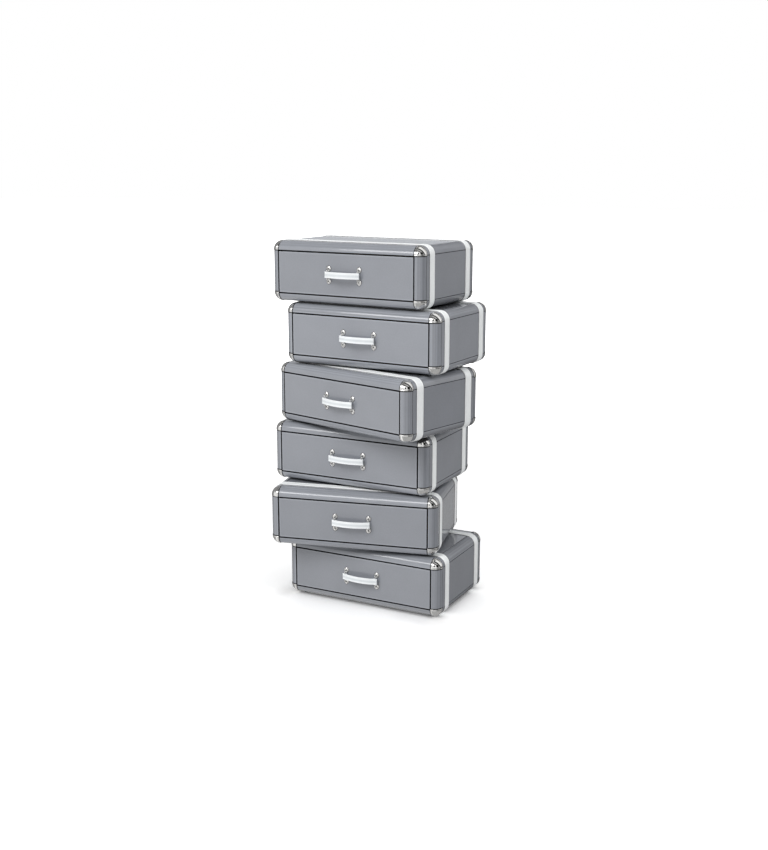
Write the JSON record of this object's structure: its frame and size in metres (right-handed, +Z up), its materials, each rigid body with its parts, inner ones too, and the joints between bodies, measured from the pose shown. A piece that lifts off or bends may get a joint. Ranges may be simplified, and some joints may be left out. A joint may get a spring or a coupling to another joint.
{
  "type": "chest of drawers",
  "caption": "Tall chest of drawers: a skewed stack of grey lacquered suitcase-like cases with chrome corners, white leather straps, and sliding drawers with bowed leather handles.",
  "frame": {"origin": "on the floor, under the middle of the stack's plan box", "axes": "+Z up, drawers open roughly towards -Y, square to the lowest case"},
  "size_m": [0.8519, 0.6243, 1.5253],
  "materials": {
    "case_lacquer": "gloss grey lacquer on board",
    "edge_lacquer": "gloss grey lacquer on moulded wood",
    "front_lacquer": "gloss grey lacquer on board",
    "corner_chrome": "polished",
    "bracket_chrome": "polished",
    "strap_leather": "smooth white",
    "grip_leather": "smooth white, stitched",
    "drawer_board": "clear satin on birch",
    "drawer_bottom": "clear satin on plywood",
    "runner_wood": "waxed beech",
    "steel_screw": "zinc plated",
    "steel_bolt": "zinc plated",
    "spacer": "black nylon",
    "glide": "black nylon"
  },
  "bodies": {
    "stack": {"case_1_panels": "case_lacquer", "case_1_edge_mouldings": "edge_lacquer", "case_1_corner_caps": "corner_chrome", "case_1_straps": "strap_leather", "case_2_panels": "case_lacquer", "case_2_edge_mouldings": "edge_lacquer", "case_2_corner_caps": "corner_chrome", "case_2_straps": "strap_leather", "case_3_panels": "case_lacquer", "case_3_edge_mouldings": "edge_lacquer", "case_3_corner_caps": "corner_chrome", "case_3_straps": "strap_leather", "case_4_panels": "case_lacquer", "case_4_edge_mouldings": "edge_lacquer", "case_4_corner_caps": "corner_chrome", "case_4_straps": "strap_leather", "case_5_panels": "case_lacquer", "case_5_edge_mouldings": "edge_lacquer", "case_5_corner_caps": "corner_chrome", "case_5_straps": "strap_leather", "case_6_panels": "case_lacquer", "case_6_edge_mouldings": "edge_lacquer", "case_6_corner_caps": "corner_chrome", "case_6_straps": "strap_leather", "drawer_runners": "runner_wood", "runner_screws": "steel_screw", "stack_spacers": "spacer", "stack_bolts": "steel_bolt", "stack_nuts": "steel_bolt", "floor_glides": "glide"},
    "drawer_1": {"drawer_1_front": "front_lacquer", "drawer_1_box": "drawer_board", "drawer_1_bottom": "drawer_bottom", "drawer_1_handle_grip": "grip_leather", "drawer_1_handle_brackets": "bracket_chrome"},
    "drawer_2": {"drawer_2_front": "front_lacquer", "drawer_2_box": "drawer_board", "drawer_2_bottom": "drawer_bottom", "drawer_2_handle_grip": "grip_leather", "drawer_2_handle_brackets": "bracket_chrome"},
    "drawer_3": {"drawer_3_front": "front_lacquer", "drawer_3_box": "drawer_board", "drawer_3_bottom": "drawer_bottom", "drawer_3_handle_grip": "grip_leather", "drawer_3_handle_brackets": "bracket_chrome"},
    "drawer_4": {"drawer_4_front": "front_lacquer", "drawer_4_box": "drawer_board", "drawer_4_bottom": "drawer_bottom", "drawer_4_handle_grip": "grip_leather", "drawer_4_handle_brackets": "bracket_chrome"},
    "drawer_5": {"drawer_5_front": "front_lacquer", "drawer_5_box": "drawer_board", "drawer_5_bottom": "drawer_bottom", "drawer_5_handle_grip": "grip_leather", "drawer_5_handle_brackets": "bracket_chrome"},
    "drawer_6": {"drawer_6_front": "front_lacquer", "drawer_6_box": "drawer_board", "drawer_6_bottom": "drawer_bottom", "drawer_6_handle_grip": "grip_leather", "drawer_6_handle_brackets": "bracket_chrome"}
  },
  "joints": [
    {"name": "drawer_1_slide", "type": "slide", "parent": "stack", "child": "drawer_1", "axis": [-0.061, -0.9981, 0], "range_m": [0, 0.3]},
    {"name": "drawer_2_slide", "type": "slide", "parent": "stack", "child": "drawer_2", "axis": [-0.0534, -0.9986, 0], "range_m": [0, 0.3]},
    {"name": "drawer_3_slide", "type": "slide", "parent": "stack", "child": "drawer_3", "axis": [-0.2455, -0.9694, 0], "range_m": [0, 0.3]},
    {"name": "drawer_4_slide", "type": "slide", "parent": "stack", "child": "drawer_4", "axis": [0.0066, -1, 0], "range_m": [0, 0.3]},
    {"name": "drawer_5_slide", "type": "slide", "parent": "stack", "child": "drawer_5", "axis": [0.2141, -0.9768, 0], "range_m": [0, 0.3]},
    {"name": "drawer_6_slide", "type": "slide", "parent": "stack", "child": "drawer_6", "axis": [0, -1, 0], "range_m": [0, 0.3]}
  ]
}
